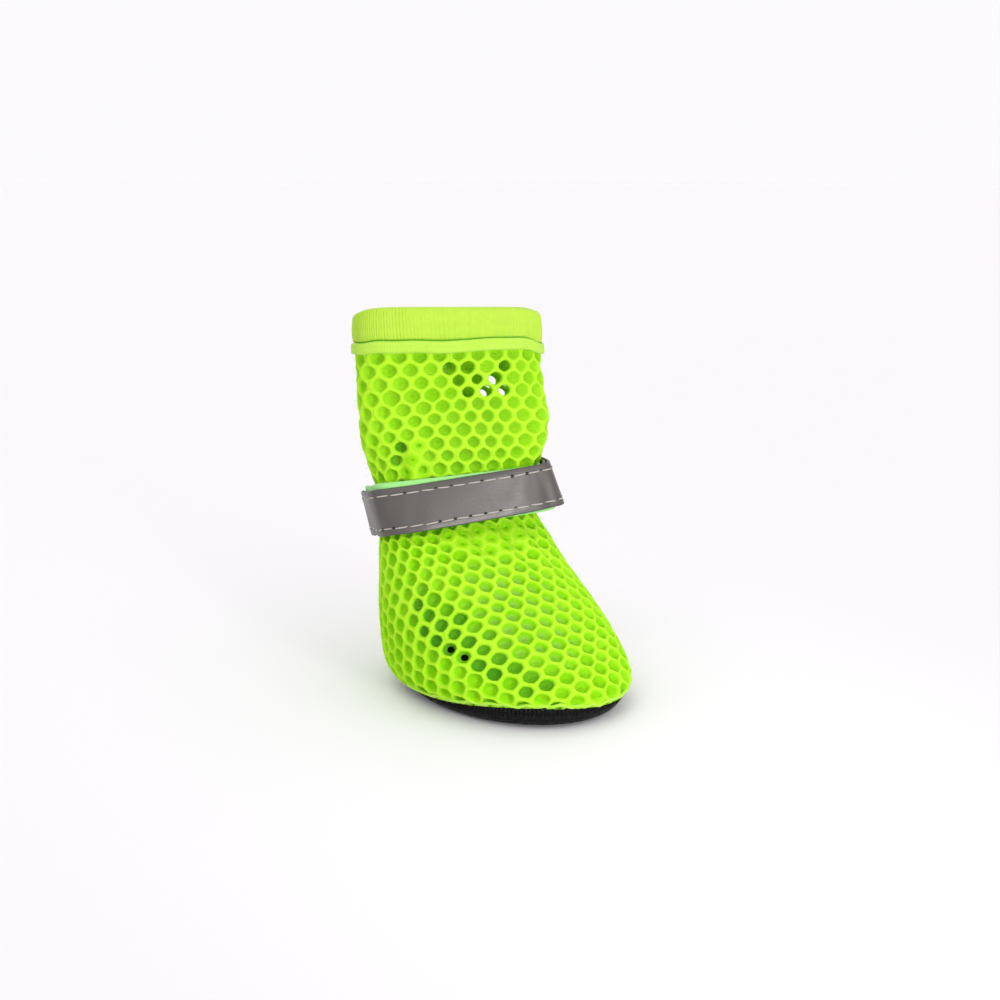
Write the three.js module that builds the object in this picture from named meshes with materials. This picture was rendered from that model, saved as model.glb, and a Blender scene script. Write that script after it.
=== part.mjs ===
// Small dog boot: a pull-on mesh boot with a soft dished sole and a reflective ankle strap.
// Millimetres, +Z up. Toe towards +X, the boot's left side towards +Y.
// Origin: the centre of the sole's flat underside.
import * as THREE from 'three';

// ---- driving sizes ----
const turns = 60;               // steps round every ring-shaped piece
const fitGap = 0.3;             // clearance between pieces that meet
const bootHeight = 89.5;        // floor to collar top
const wallThickness = 1.7;      // spacer mesh
const rimLevel = 4.5;           // top of the sole's drawn-up edge at the sides
const rimRaise = { toe: 0.4, heel: 0.4 };  // extra height of that edge: toe spring and heel lift
const soleFloor = 2.0;          // sole thickness in the middle
const soleEdge = 1.9;           // sole thickness at its edge
const insoleThickness = 1.2;
const insoleInset = { bottom: 6.2, top: 4.6 };
const blendLevel = 20;          // the hem's rise has faded out at this level
const bandHeight = 8.0;         // collar binding
const bandProud = 0.6;          // how far the binding stands out of the mesh, outside and inside
const lipHeight = 3.0;          // folded edge under the binding
const lipThickness = 0.8;
const strapWidth = 10.8;
const strapLevel = 45.7;        // middle of the strap at the ankle's centre line
const strapThickness = 0.7;
const backingThickness = 0.8;
const strapGap = 0.6;           // between the stiff strap and what it lies on
const backingSkew = 0.8;        // degrees between the backing and the strap
const lapTurn = 40;             // degrees of strap lapped over itself
const lapStart = 62;            // degrees from the toe where the strap's inner end lies
const lapRamp = 26;             // degrees over which the lapped end climbs onto the strap
const patchWidth = 16;
const patchHeight = 12;
const patchThickness = 0.8;

// ---- sections of the last, one row each ----
// level: height; front, back: where the section meets the centre plane; half: half width;
// egg: how much wider the toe half is; twist: turn about +Z towards the boot's right, degrees;
// power: 2 is an ellipse and more is flatter-sided.
const sections = [
  { level: 4.5, front: 31.6, back: -29.0, half: 22.4, egg: 0.06, twist: 0, power: 2.05 },
  { level: 7, front: 32.4, back: -31.2, half: 24.8, egg: 0.05, twist: 0, power: 2.05 },
  { level: 10, front: 30.0, back: -32.1, half: 25.7, egg: 0.05, twist: 0, power: 2.05 },
  { level: 15, front: 24.8, back: -32.4, half: 25.9, egg: 0.04, twist: 0, power: 2.1 },
  { level: 21, front: 18.2, back: -32.2, half: 25.2, egg: 0.02, twist: 0, power: 2.1 },
  { level: 28, front: 9.8, back: -31.4, half: 23.5, egg: 0.01, twist: 2, power: 2.1 },
  { level: 34, front: 2.8, back: -29.8, half: 21.8, egg: 0, twist: 9, power: 2.2 },
  { level: 40, front: -5.4, back: -25.8, half: 20.2, egg: 0, twist: 20, power: 2.4 },
  { level: 46, front: -8.2, back: -24.9, half: 19.6, egg: 0, twist: 26, power: 2.6 },
  { level: 52, front: -8.4, back: -26.0, half: 20.8, egg: 0, twist: 26, power: 2.5 },
  { level: 58, front: -7.6, back: -27.4, half: 22.6, egg: 0, twist: 23, power: 2.3 },
  { level: 66, front: -7.8, back: -27.8, half: 23.5, egg: 0, twist: 20, power: 2.2 },
  { level: 78, front: -9.6, back: -28.0, half: 23.1, egg: 0, twist: 20, power: 2.4 },
  { level: 89.5, front: -10.8, back: -27.8, half: 22.7, egg: 0, twist: 20, power: 2.6 },
];

// The strap's own sections, at its lower and upper edge: stiff tape stays flat between its two bends.
const strapSections = [
  { level: strapLevel - strapWidth / 2, front: -2.9, back: -28.6, half: 21.9, egg: 0, twist: 25, power: 4.0 },
  { level: strapLevel + strapWidth / 2, front: -6.6, back: -27.4, half: 21.0, egg: 0, twist: 29, power: 4.0 },
];
const strapSlope = { lean: 6.5, roll: 3.2 };   // degrees: rise towards the toe and towards the left side
const strapDroop = { at: -125, reach: 38, drop: 2.4 };   // the strap hangs lower round its right back corner

// The sole's edge in section: inset from the outline, height as a share of the drawn-up edge.
const soleOutside = [
  { inset: 3.4, rise: 0 },
  { inset: 1.9, rise: 0.08 },
  { inset: 0.8, rise: 0.3 },
  { inset: 0.2, rise: 0.62 },
  { inset: 0, rise: 1 },
];
const soleInside = [
  { inset: soleEdge, rise: 1 },
  { inset: soleEdge + 0.5, rise: 0.76 },
  { inset: soleEdge + 1.6, rise: 0.55 },
];
const floorInset = 6.0;         // where the dished inside becomes the flat inner floor

const radians = THREE.MathUtils.degToRad;

// Smooth value of one column between the rows of a section table.
function columnAt(table, column, level) {
  const last = table.length - 1;
  let row = 0;
  while (row < last - 1 && level > table[row + 1].level) row += 1;
  const slopeAt = (index) => {
    const before = table[Math.max(index - 1, 0)];
    const after = table[Math.min(index + 1, last)];
    return (after[column] - before[column]) / (after.level - before.level);
  };
  const span = table[row + 1].level - table[row].level;
  const t = (level - table[row].level) / span;
  const startWeight = 2 * t ** 3 - 3 * t ** 2 + 1;
  const leaveWeight = (t ** 3 - 2 * t ** 2 + t) * span;
  const endWeight = 3 * t ** 2 - 2 * t ** 3;
  const arriveWeight = (t ** 3 - t ** 2) * span;
  return startWeight * table[row][column] + leaveWeight * slopeAt(row)
    + endWeight * table[row + 1][column] + arriveWeight * slopeAt(row + 1);
}

// A point on a section: angle from the toe, level, and how far it is grown outwards.
function sectionPoint(table, angle, level, grow) {
  const at = (column) => columnAt(table, column, level);
  const halfLength = (at('front') - at('back')) / 2 + grow;
  const halfWidth = at('half') + grow;
  const roundness = 2 / at('power');
  const along = Math.cos(angle);
  const across = Math.sin(angle);
  const x = halfLength * Math.sign(along) * Math.abs(along) ** roundness;
  const y = halfWidth * Math.sign(across) * Math.abs(across) ** roundness * (1 + at('egg') * along);
  const twist = -radians(at('twist'));
  return new THREE.Vector3(
    (at('front') + at('back')) / 2 + x * Math.cos(twist) - y * Math.sin(twist),
    x * Math.sin(twist) + y * Math.cos(twist),
    level,
  );
}

// Extra height of the sole's edge at an angle: the toe spring and the heel lift.
function edgeRaise(angle) {
  const along = Math.cos(angle);
  return along > 0 ? rimRaise.toe * along ** 2 : rimRaise.heel * along ** 2;
}

// A point on the boot's own form. Levels near the hem rise with the sole's edge.
function formPoint(angle, level, grow) {
  const point = sectionPoint(sections, angle, level, grow);
  const fade = THREE.MathUtils.smoothstep(blendLevel - level, 0, blendLevel - rimLevel);
  point.z += edgeRaise(angle) * fade;
  return point;
}

// A closed solid from loops of equal length: joined end to end, or capped at both ends.
function loopSolid(loops, closed) {
  const size = loops[0].length;
  const positions = loops.flat().flatMap((point) => [point.x, point.y, point.z]);
  const faces = [];
  const strips = closed ? loops.length : loops.length - 1;
  for (let strip = 0; strip < strips; strip += 1) {
    const here = strip * size;
    const there = ((strip + 1) % loops.length) * size;
    for (let step = 0; step < size; step += 1) {
      const next = (step + 1) % size;
      faces.push(here + step, there + step, there + next);
      faces.push(here + step, there + next, here + next);
    }
  }
  if (!closed) {
    const end = (loops.length - 1) * size;
    const corner = (offset, index) => (index % 2 ? size - (index + 1) / 2 : index / 2) + offset;
    for (let index = 0; index < size - 2; index += 1) {
      const flip = index % 2;
      const near = [corner(0, index), corner(0, index + 1), corner(0, index + 2)];
      const far = [corner(end, index), corner(end, index + 1), corner(end, index + 2)];
      faces.push(...(flip ? near : near.reverse()));
      faces.push(...(flip ? far.reverse() : far));
    }
  }
  return geometryFrom(positions, faces);
}

// A closed solid from rings stacked from the underside's flat to the top's flat.
function stackedSolid(rings) {
  const size = rings[0].length;
  const positions = rings.flat().flatMap((point) => [point.x, point.y, point.z]);
  const faces = [];
  for (let ring = 0; ring < rings.length - 1; ring += 1) {
    for (let step = 0; step < size; step += 1) {
      const next = (step + 1) % size;
      const here = ring * size;
      const there = here + size;
      faces.push(here + step, here + next, there + next);
      faces.push(here + step, there + next, there + step);
    }
  }
  const top = (rings.length - 1) * size;
  for (let step = 0; step < size / 2 - 1; step += 1) {
    const mirrored = size - 1 - step;
    const under = [step, step + 1, mirrored, step + 1, mirrored - 1, mirrored];
    const over = under.map((index) => top + index).reverse();
    faces.push(...under.reverse());
    faces.push(...over.reverse());
  }
  return geometryFrom(positions, faces);
}

function geometryFrom(positions, faces) {
  const geometry = new THREE.BufferGeometry();
  geometry.setAttribute('position', new THREE.Float32BufferAttribute(positions, 3));
  geometry.setIndex(faces);
  geometry.computeVertexNormals();
  return geometry;
}

const angleOf = (step, count = turns) => (2 * Math.PI * step) / count;
const ringAngles = Array.from({ length: turns }, (_, step) => angleOf(step));

// Evenly spaced numbers from start to end.
function spread(start, end, count) {
  return Array.from({ length: count }, (_, index) => THREE.MathUtils.lerp(start, end, index / (count - 1)));
}

// ---- sole and insole ----
function solePoint(angle, inset, height) {
  const point = sectionPoint(sections, angle, rimLevel, -inset);
  point.z = height;
  return point;
}

function soleGeometry() {
  const edgeHeight = (angle) => rimLevel + edgeRaise(angle);
  const outside = soleOutside.map(({ inset, rise }) => (
    ringAngles.map((angle) => solePoint(angle, inset, rise * edgeHeight(angle)))));
  const inside = soleInside.map(({ inset, rise }) => (
    ringAngles.map((angle) => solePoint(angle, inset, rise * edgeHeight(angle)))));
  const floor = ringAngles.map((angle) => solePoint(angle, floorInset, soleFloor));
  return stackedSolid([...outside, ...inside, floor]);
}

function insoleGeometry() {
  const under = soleFloor + fitGap;
  return stackedSolid([
    ringAngles.map((angle) => solePoint(angle, insoleInset.bottom, under)),
    ringAngles.map((angle) => solePoint(angle, insoleInset.top, under + insoleThickness / 2)),
    ringAngles.map((angle) => solePoint(angle, insoleInset.top, under + insoleThickness)),
  ]);
}

// ---- upper ----
// Levels close together round the ankle, where the form bends most.
const upperBottom = rimLevel + fitGap;
const upperTop = bootHeight - bandHeight - fitGap;
const upperLevels = [
  ...spread(upperBottom, 30, 9),
  ...spread(33, 55, 8),
  ...spread(60, upperTop, 4),
];

function upperGeometry() {
  return loopSolid(ringAngles.map((angle) => [
    ...upperLevels.map((level) => formPoint(angle, level, 0)),
    ...[...upperLevels].reverse().map((level) => formPoint(angle, level, -wallThickness)),
  ]), true);
}

// ---- collar ----
function collarBandGeometry() {
  const low = bootHeight - bandHeight;
  const outside = bandProud;
  const inside = -wallThickness - bandProud;
  const round = 0.8;
  return loopSolid(ringAngles.map((angle) => [
    formPoint(angle, low, outside - round / 2),
    formPoint(angle, low + round, outside),
    formPoint(angle, bootHeight - round, outside),
    formPoint(angle, bootHeight, outside - round),
    formPoint(angle, bootHeight, inside + round),
    formPoint(angle, bootHeight - round, inside),
    formPoint(angle, low + round, inside),
    formPoint(angle, low, inside + round / 2),
  ]), true);
}

function collarLipGeometry() {
  const high = bootHeight - bandHeight - fitGap;
  const low = high - lipHeight;
  const outside = fitGap + lipThickness;
  const round = 0.5;
  return loopSolid(ringAngles.map((angle) => [
    formPoint(angle, low, fitGap),
    formPoint(angle, low + round, outside),
    formPoint(angle, high - round, outside),
    formPoint(angle, high, outside - round),
    formPoint(angle, high, fitGap),
  ]), true);
}

// ---- strap ----
// A point on the strap: share is 0 at its lower edge and 1 at its upper edge.
function strapPoint(angle, share, grow, extraRoll) {
  const level = strapLevel + (share - 0.5) * strapWidth;
  const point = sectionPoint(strapSections, angle, level, grow);
  const middle = (strapSections[0].front + strapSections[0].back) / 2;
  point.z += Math.tan(radians(strapSlope.lean)) * (point.x - middle);
  point.z += Math.tan(radians(strapSlope.roll + extraRoll)) * point.y;
  const turned = THREE.MathUtils.radToDeg(angle) - strapDroop.at;
  const away = THREE.MathUtils.euclideanModulo(turned + 180, 360) - 180;
  point.z -= strapDroop.drop * Math.exp(-((away / strapDroop.reach) ** 2));
  return point;
}

function strapBackingGeometry() {
  return loopSolid(ringAngles.map((angle) => [
    strapPoint(angle, 0, 0, -backingSkew),
    strapPoint(angle, 0, backingThickness, -backingSkew),
    strapPoint(angle, 1, backingThickness, -backingSkew),
    strapPoint(angle, 1, 0, -backingSkew),
  ]), true);
}

// The strap runs once round the ankle, then its free end climbs over its own start.
function strapGeometry() {
  const steps = Math.round((turns * (360 + lapTurn)) / 360);
  const lift = strapThickness + strapGap;
  return loopSolid(Array.from({ length: steps + 1 }, (_, step) => {
    const run = (step * (360 + lapTurn)) / steps;
    const angle = radians(lapStart + run);
    const climb = THREE.MathUtils.smoothstep(run, 360 - lapRamp, 360);
    const inner = backingThickness + strapGap + climb * lift;
    return [
      strapPoint(angle, 0, inner, 0),
      strapPoint(angle, 0, inner + strapThickness, 0),
      strapPoint(angle, 1, inner + strapThickness, 0),
      strapPoint(angle, 1, inner, 0),
    ];
  }), false);
}

// ---- heel patch ----
function heelPatchGeometry() {
  const levels = spread(upperBottom + fitGap, upperBottom + patchHeight, 5);
  const halfTurn = Math.asin(patchWidth / 2 / columnAt(sections, 'half', 15));
  const angles = spread(Math.PI - halfTurn, Math.PI + halfTurn, 9);
  return loopSolid(angles.map((angle) => [
    ...levels.map((level) => formPoint(angle, level, fitGap + patchThickness)),
    ...[...levels].reverse().map((level) => formPoint(angle, level, fitGap)),
  ]), false);
}

// ---- the boot ----
const pieces = [
  { name: 'sole', make: soleGeometry, color: 0x0f0f12, roughness: 0.55 },
  { name: 'insole', make: insoleGeometry, color: 0x16161a, roughness: 0.95 },
  { name: 'upper', make: upperGeometry, color: 0x9cf21c, roughness: 0.8 },
  { name: 'heel_patch', make: heelPatchGeometry, color: 0x9fe01e, roughness: 0.85 },
  { name: 'collar_lip', make: collarLipGeometry, color: 0xb4f53c, roughness: 0.8 },
  { name: 'collar_band', make: collarBandGeometry, color: 0xc6fa4a, roughness: 0.8 },
  { name: 'strap_backing', make: strapBackingGeometry, color: 0xaaee9a, roughness: 0.9 },
  { name: 'strap', make: strapGeometry, color: 0x6e6a66, roughness: 0.4 },
];

const boot = new THREE.Group();
for (const piece of pieces) {
  const material = new THREE.MeshStandardMaterial({
    color: piece.color,
    roughness: piece.roughness,
    metalness: 0,
  });
  const mesh = new THREE.Mesh(piece.make(), material);
  mesh.name = piece.name;
  boot.add(mesh);
}

export default boot;
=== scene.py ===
from math import ceil, cos, pi, radians, sin, tan

import bpy
import numpy as np
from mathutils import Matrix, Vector


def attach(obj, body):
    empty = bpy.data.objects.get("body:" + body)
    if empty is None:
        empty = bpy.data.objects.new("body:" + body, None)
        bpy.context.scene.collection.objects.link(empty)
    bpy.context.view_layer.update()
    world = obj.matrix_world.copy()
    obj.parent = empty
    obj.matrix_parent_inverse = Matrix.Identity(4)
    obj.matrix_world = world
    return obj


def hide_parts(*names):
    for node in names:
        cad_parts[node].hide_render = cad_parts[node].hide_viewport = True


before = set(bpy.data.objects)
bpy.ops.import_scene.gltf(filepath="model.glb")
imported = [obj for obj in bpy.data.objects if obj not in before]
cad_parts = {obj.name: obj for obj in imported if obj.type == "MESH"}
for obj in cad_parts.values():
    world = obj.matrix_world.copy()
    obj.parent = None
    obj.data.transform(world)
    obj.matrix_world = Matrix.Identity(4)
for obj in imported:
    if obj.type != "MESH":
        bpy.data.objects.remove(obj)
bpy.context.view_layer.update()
print("frame loaded:", len(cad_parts), "nodes")

millimetre = 0.001
rng = np.random.default_rng(12)

# Toe towards +X, the boot's left side towards +Y. Shapes are worked out in millimetres. Angles turn from the
# toe towards the boot's left side, and levels are heights above the floor.


# Camera, floor and light.
studio = {
    "lens": 50.4,
    "cameraPlace": (0.2294, -0.2231, 0.120),
    "cameraTurn": 46.0,       # degrees about +Z
    "cameraDip": 12.95,       # degrees below the horizon
    "worldColour": (0.974, 0.958, 0.984),
    "worldStrength": 1.0,
    "floorColour": (0.848, 0.837, 0.847),
    "floorHalf": 30.0,
}
scene = bpy.context.scene
scene.view_settings.view_transform = "Standard"

cameraData = bpy.data.cameras.new("camera")
cameraData.lens = studio["lens"]
cameraData.sensor_width = 36.0
cameraData.clip_start = 0.01
camera = bpy.data.objects.new("camera", cameraData)
camera.location = studio["cameraPlace"]
camera.rotation_euler = (radians(90 - studio["cameraDip"]), 0, radians(studio["cameraTurn"]))
scene.collection.objects.link(camera)
scene.camera = camera

world = bpy.data.worlds.new("studio")
world.use_nodes = True
world.node_tree.nodes["Background"].inputs["Color"].default_value = (*studio["worldColour"], 1)
world.node_tree.nodes["Background"].inputs["Strength"].default_value = studio["worldStrength"]
scene.world = world

# soft suns light the whole floor evenly; the small lamp gives the strap its sheen
suns = [
    {"name": "key", "towards": (0.25, -0.85, 1.25), "strength": 0.46, "softness": 40},
    {"name": "fill", "towards": (1.0, 0.1, 0.9), "strength": 0.26, "softness": 60},
]
for sun in suns:
    sunData = bpy.data.lights.new(sun["name"], "SUN")
    sunData.energy = sun["strength"]
    sunData.angle = radians(sun["softness"])
    sunObject = bpy.data.objects.new(sun["name"], sunData)
    sunObject.rotation_euler = Vector(sun["towards"]).to_track_quat("Z", "Y").to_euler()
    scene.collection.objects.link(sunObject)

lamp = {"place": (0.40, -0.085, 0.080), "aim": (0, 0, 0.045), "radius": 0.05, "watts": 3.6, "cone": 44}
lampData = bpy.data.lights.new("lamp", "SPOT")
lampData.shadow_soft_size = lamp["radius"]
lampData.spot_size = radians(lamp["cone"])
lampData.spot_blend = 1.0
lampData.energy = lamp["watts"]
lampObject = bpy.data.objects.new("lamp", lampData)
lampObject.location = lamp["place"]
towardsLamp = Vector(lamp["place"]) - Vector(lamp["aim"])
lampObject.rotation_euler = towardsLamp.to_track_quat("Z", "Y").to_euler()
scene.collection.objects.link(lampObject)


# Shader helpers.
def setValues(node, **values):
    # sets a node's properties and sockets; underscores stand for the spaces in a socket's name
    for key, value in values.items():
        if hasattr(node, key):
            setattr(node, key, value)
        else:
            node.inputs[key.replace("_", " ")].default_value = value
    return node


def addNode(tree, kind, **values):
    # a new node with its values set
    return setValues(tree.nodes.new(kind), **values)


def wire(tree, wires):
    # links given as (node, output, node, input)
    for source, output, target, entry in wires:
        tree.links.new(source.outputs[output], target.inputs[entry])


def newGroup(name, inputs, outputs):
    # an empty node group with named sockets, and its input and output nodes
    group = bpy.data.node_groups.new(name, "ShaderNodeTree")
    for label, kind, value in inputs:
        group.interface.new_socket(name=label, in_out="INPUT", socket_type=kind).default_value = value
    for label, kind in outputs:
        group.interface.new_socket(name=label, in_out="OUTPUT", socket_type=kind)
    return group, group.nodes.new("NodeGroupInput"), group.nodes.new("NodeGroupOutput")


def makeDyeAndShadeGroup():
    # dyed cloth: two tones mixed by soft patches and by fine specks, and painted shade that the Depth input
    # pushes towards the deep tone
    group, source, result = newGroup("dyed cloth and painted shade", [
        ("Light Tone", "NodeSocketColor", (1, 1, 1, 1)),
        ("Deep Tone", "NodeSocketColor", (0, 0, 0, 1)),
        ("Patch Scale", "NodeSocketFloat", 60.0),
        ("Speck Scale", "NodeSocketFloat", 1500.0),
        ("Depth", "NodeSocketFloat", 0.0),
    ], [("Color", "NodeSocketColor")])
    place = addNode(group, "ShaderNodeTexCoord")
    patches = addNode(group, "ShaderNodeTexNoise", Detail=3.0, Roughness=0.55)
    specks = addNode(group, "ShaderNodeTexNoise", Detail=2.0, Roughness=0.6)
    both = addNode(group, "ShaderNodeMath", operation="ADD")
    spread = addNode(group, "ShaderNodeMapRange", From_Min=0.75, From_Max=1.3)
    deeper = addNode(group, "ShaderNodeMath", operation="MULTIPLY_ADD", use_clamp=True)
    deeper.inputs[1].default_value = 0.30
    mix = addNode(group, "ShaderNodeMix", data_type="RGBA")
    wire(group, [
        (place, "Object", patches, "Vector"), (source, "Patch Scale", patches, "Scale"),
        (place, "Object", specks, "Vector"), (source, "Speck Scale", specks, "Scale"),
        (patches, "Fac", both, 0), (specks, "Fac", both, 1), (both, "Value", spread, "Value"),
        (spread, "Result", deeper, 0), (source, "Depth", deeper, 2), (deeper, "Value", mix, "Factor"),
        (source, "Light Tone", mix, "A"), (source, "Deep Tone", mix, "B"), (mix, "Result", result, "Color"),
    ])
    return group


def makeThreadGroup():
    # threads as raised bands across the piece's own map, roughened by fine fluff
    group, source, result = newGroup("threads", [
        ("Along", "NodeSocketFloat", 1000.0),
        ("Across", "NodeSocketFloat", 1000.0),
        ("Wander", "NodeSocketFloat", 1.0),
        ("Fluff Scale", "NodeSocketFloat", 4000.0),
        ("Depth", "NodeSocketFloat", 0.0001),
        ("Strength", "NodeSocketFloat", 0.6),
    ], [("Normal", "NodeSocketVector")])
    place = addNode(group, "ShaderNodeTexCoord")
    fluff = addNode(group, "ShaderNodeTexNoise", Detail=3.0, Roughness=0.65)
    woven = addNode(group, "ShaderNodeMath", operation="MULTIPLY")
    height = addNode(group, "ShaderNodeMath", operation="MULTIPLY_ADD")
    height.inputs[1].default_value = 0.5
    bump = addNode(group, "ShaderNodeBump")
    for entry, (label, axis) in enumerate((("Along", "X"), ("Across", "Y"))):
        wave = addNode(group, "ShaderNodeTexWave", wave_type="BANDS", bands_direction=axis, Detail=1.0)
        wire(group, [(place, "UV", wave, "Vector"), (source, label, wave, "Scale"),
                     (source, "Wander", wave, "Distortion"), (wave, "Fac", woven, entry)])
    wire(group, [
        (place, "Object", fluff, "Vector"), (source, "Fluff Scale", fluff, "Scale"),
        (fluff, "Fac", height, 0), (woven, "Value", height, 2), (height, "Value", bump, "Height"),
        (source, "Depth", bump, "Distance"), (source, "Strength", bump, "Strength"),
        (bump, "Normal", result, "Normal"),
    ])
    return group


dyeAndShadeGroup = makeDyeAndShadeGroup()
threadGroup = makeThreadGroup()


def newMaterial(name):
    # a material with its node tree and its shader
    material = bpy.data.materials.new(name)
    material.use_nodes = True
    return material, material.node_tree, material.node_tree.nodes["Principled BSDF"]


def addDyeAndShade(tree, look):
    # the dye and painted shade group with a look's two tones and the scales of its patches and specks
    return addNode(tree, "ShaderNodeGroup", node_tree=dyeAndShadeGroup, Light_Tone=(*look["light"], 1),
                   Deep_Tone=(*look["deep"], 1), Patch_Scale=look.get("patchScale", 60.0),
                   Speck_Scale=look.get("speckScale", 1500.0))


def clothMaterial(name, look):
    # dyed threads: tones and painted shade from the dye group, bump from the thread group, and a soft sheen
    material, tree, shader = newMaterial(name)
    dye = addDyeAndShade(tree, look)
    threads = addNode(tree, "ShaderNodeGroup", node_tree=threadGroup, Along=look["along"],
                      Across=look["across"], Wander=look.get("wander", 1.0),
                      Depth=look.get("threadDepth", 0.0001), Strength=look.get("threadStrength", 0.6))
    # painted shade: a point attribute darkens the tone towards the deep one
    if look.get("paintedShadeAttribute"):
        depth = addNode(tree, "ShaderNodeAttribute", attribute_name=look["paintedShadeAttribute"])
        wire(tree, [(depth, "Fac", dye, "Depth")])
    tone = dye.outputs["Color"]
    for mark, colour in look.get("marks", {}).items():      # places marked on the piece take another tone; one mark is painted shade
        share = addNode(tree, "ShaderNodeAttribute", attribute_name=mark)
        mix = addNode(tree, "ShaderNodeMix", data_type="RGBA", B=(*colour, 1))
        wire(tree, [(share, "Fac", mix, "Factor")])
        tree.links.new(tone, mix.inputs["A"])
        tone = mix.outputs["Result"]
    tree.links.new(tone, shader.inputs["Base Color"])
    wire(tree, [(threads, "Normal", shader, "Normal")])
    setValues(shader, Roughness=look.get("roughness", 0.8), Specular_IOR_Level=look.get("specular", 0.25),
              Sheen_Weight=look.get("sheen", 0.15), Sheen_Roughness=0.4)
    if look.get("glow"):      # painted glow: emitted light that stands for the fluorescent dye and lifts the shade
        setValues(shader, Emission_Color=(*look["glow"], 1), Emission_Strength=look["glowStrength"])
    return material


def coatedMaterial(name, look):
    # coated cloth: tones from the dye group, a shine that varies with scuffs, and bump from a close grain
    material, tree, shader = newMaterial(name)
    dye = addDyeAndShade(tree, look)
    place = addNode(tree, "ShaderNodeTexCoord")
    grain = addNode(tree, look["grainKind"], Scale=look["grainScale"])
    scuffs = addNode(tree, "ShaderNodeTexNoise", **look["scuffs"])
    rough = addNode(tree, "ShaderNodeMapRange", **look["roughness"])
    bump = addNode(tree, "ShaderNodeBump", **look["bump"])
    wire(tree, [
        (dye, "Color", shader, "Base Color"), (place, "Object", grain, "Vector"),
        (place, "Object", scuffs, "Vector"), (scuffs, "Fac", rough, "Value"),
        (rough, "Result", shader, "Roughness"), (grain, 0, bump, "Height"),
        (bump, "Normal", shader, "Normal"),
    ])
    setValues(shader, Metallic=look.get("metallic", 0.0), Specular_IOR_Level=look["specular"])
    return material


# The boot's form.
wallThickness = 1.7
# the sole's drawn-up edge, a little higher at the toe, the heel and the right side
rim = {"level": 4.5, "toe": 0.4, "heel": 0.4, "blend": 20.0}
rimSide = {"at": -42, "reach": 32, "rise": 0.95}
gap = 0.3
upperBottom = rim["level"] + gap
upperTop = 81.2

# level, front, back, half width, egg (toe half wider), twist to the right in degrees, power (2 is an ellipse)
lastSections = np.array([
    (4.5, 31.6, -29.0, 22.4, 0.06, 0, 2.05),
    (7, 32.4, -31.2, 24.8, 0.05, 0, 2.05),
    (10, 30.0, -32.1, 25.7, 0.05, 0, 2.05),
    (15, 24.8, -32.4, 25.9, 0.04, 0, 2.1),
    (21, 18.2, -32.2, 25.2, 0.02, 0, 2.1),
    (28, 9.8, -31.4, 23.5, 0.01, 2, 2.1),
    (34, 2.8, -29.8, 21.8, 0, 9, 2.2),
    (40, -5.4, -25.8, 20.2, 0, 20, 2.4),
    (46, -8.2, -24.9, 19.6, 0, 26, 2.6),
    (52, -8.4, -26.0, 20.8, 0, 26, 2.5),
    (58, -7.6, -27.4, 22.6, 0, 23, 2.3),
    (66, -7.8, -27.8, 23.5, 0, 20, 2.2),
    (78, -9.6, -28.0, 23.1, 0, 20, 2.4),
    (89.5, -10.8, -27.8, 22.7, 0, 20, 2.6),
])


def smoothstep(low, high, value):
    # 0 at low, 1 at high, and between them three squares less two cubes of the share
    t = np.clip((value - low) / (high - low), 0, 1)
    return t * t * (3 - 2 * t)


def columnsAt(table, level):
    # smooth values between a table's rows: cubic curves whose slopes come from the neighbouring rows
    rows = table[:, 0]
    last = len(rows) - 1
    before, after = np.maximum(np.arange(last + 1) - 1, 0), np.minimum(np.arange(last + 1) + 1, last)
    slope = (table[after] - table[before]) / (rows[after] - rows[before])[:, None]
    row = np.clip(np.searchsorted(rows, level) - 1, 0, last - 1)
    span = (rows[row + 1] - rows[row])[..., None]
    t = (level - rows[row])[..., None] / span
    return ((2 * t**3 - 3 * t**2 + 1) * table[row] + (t**3 - 2 * t**2 + t) * span * slope[row]
            + (3 * t**2 - 2 * t**3) * table[row + 1] + (t**3 - t**2) * span * slope[row + 1])


def sectionPoint(table, angle, level, grow=0.0):
    # a point on a twisted, egg-shaped superellipse: each half axis is grown by the same distance
    angle, level, grow = np.broadcast_arrays(*(np.asarray(part, float) for part in (angle, level, grow)))
    _, front, back, half, egg, twist, power = np.moveaxis(columnsAt(table, level), -1, 0)
    along, across = np.cos(angle), np.sin(angle)
    x = ((front - back) / 2 + grow) * np.sign(along) * np.abs(along) ** (2 / power)
    y = (half + grow) * np.sign(across) * np.abs(across) ** (2 / power) * (1 + egg * along)
    turn = -np.radians(twist)
    return np.stack([(front + back) / 2 + x * np.cos(turn) - y * np.sin(turn),
                     x * np.sin(turn) + y * np.cos(turn), level], -1)


def degreesFrom(angle, at):
    # how far an angle in radians lies from one in degrees, the short way round, in degrees
    turn = radians(at)
    return np.degrees(np.arctan2(np.sin(angle - turn), np.cos(angle - turn)))


def bell(angle, place):
    # 1 at the place's angle, falling with the square of the distance's share of the reach, as a Gaussian
    return np.exp(-(degreesFrom(angle, place["at"]) / place["reach"]) ** 2)


def turns(count):
    # angles spaced evenly round a circle
    return 2 * pi * np.arange(count) / count


def edgeRaise(angle):
    # extra height of the sole's edge
    ends = np.where(np.cos(angle) > 0, rim["toe"], rim["heel"]) * np.cos(angle) ** 2
    return ends + rimSide["rise"] * bell(angle, rimSide)


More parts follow.
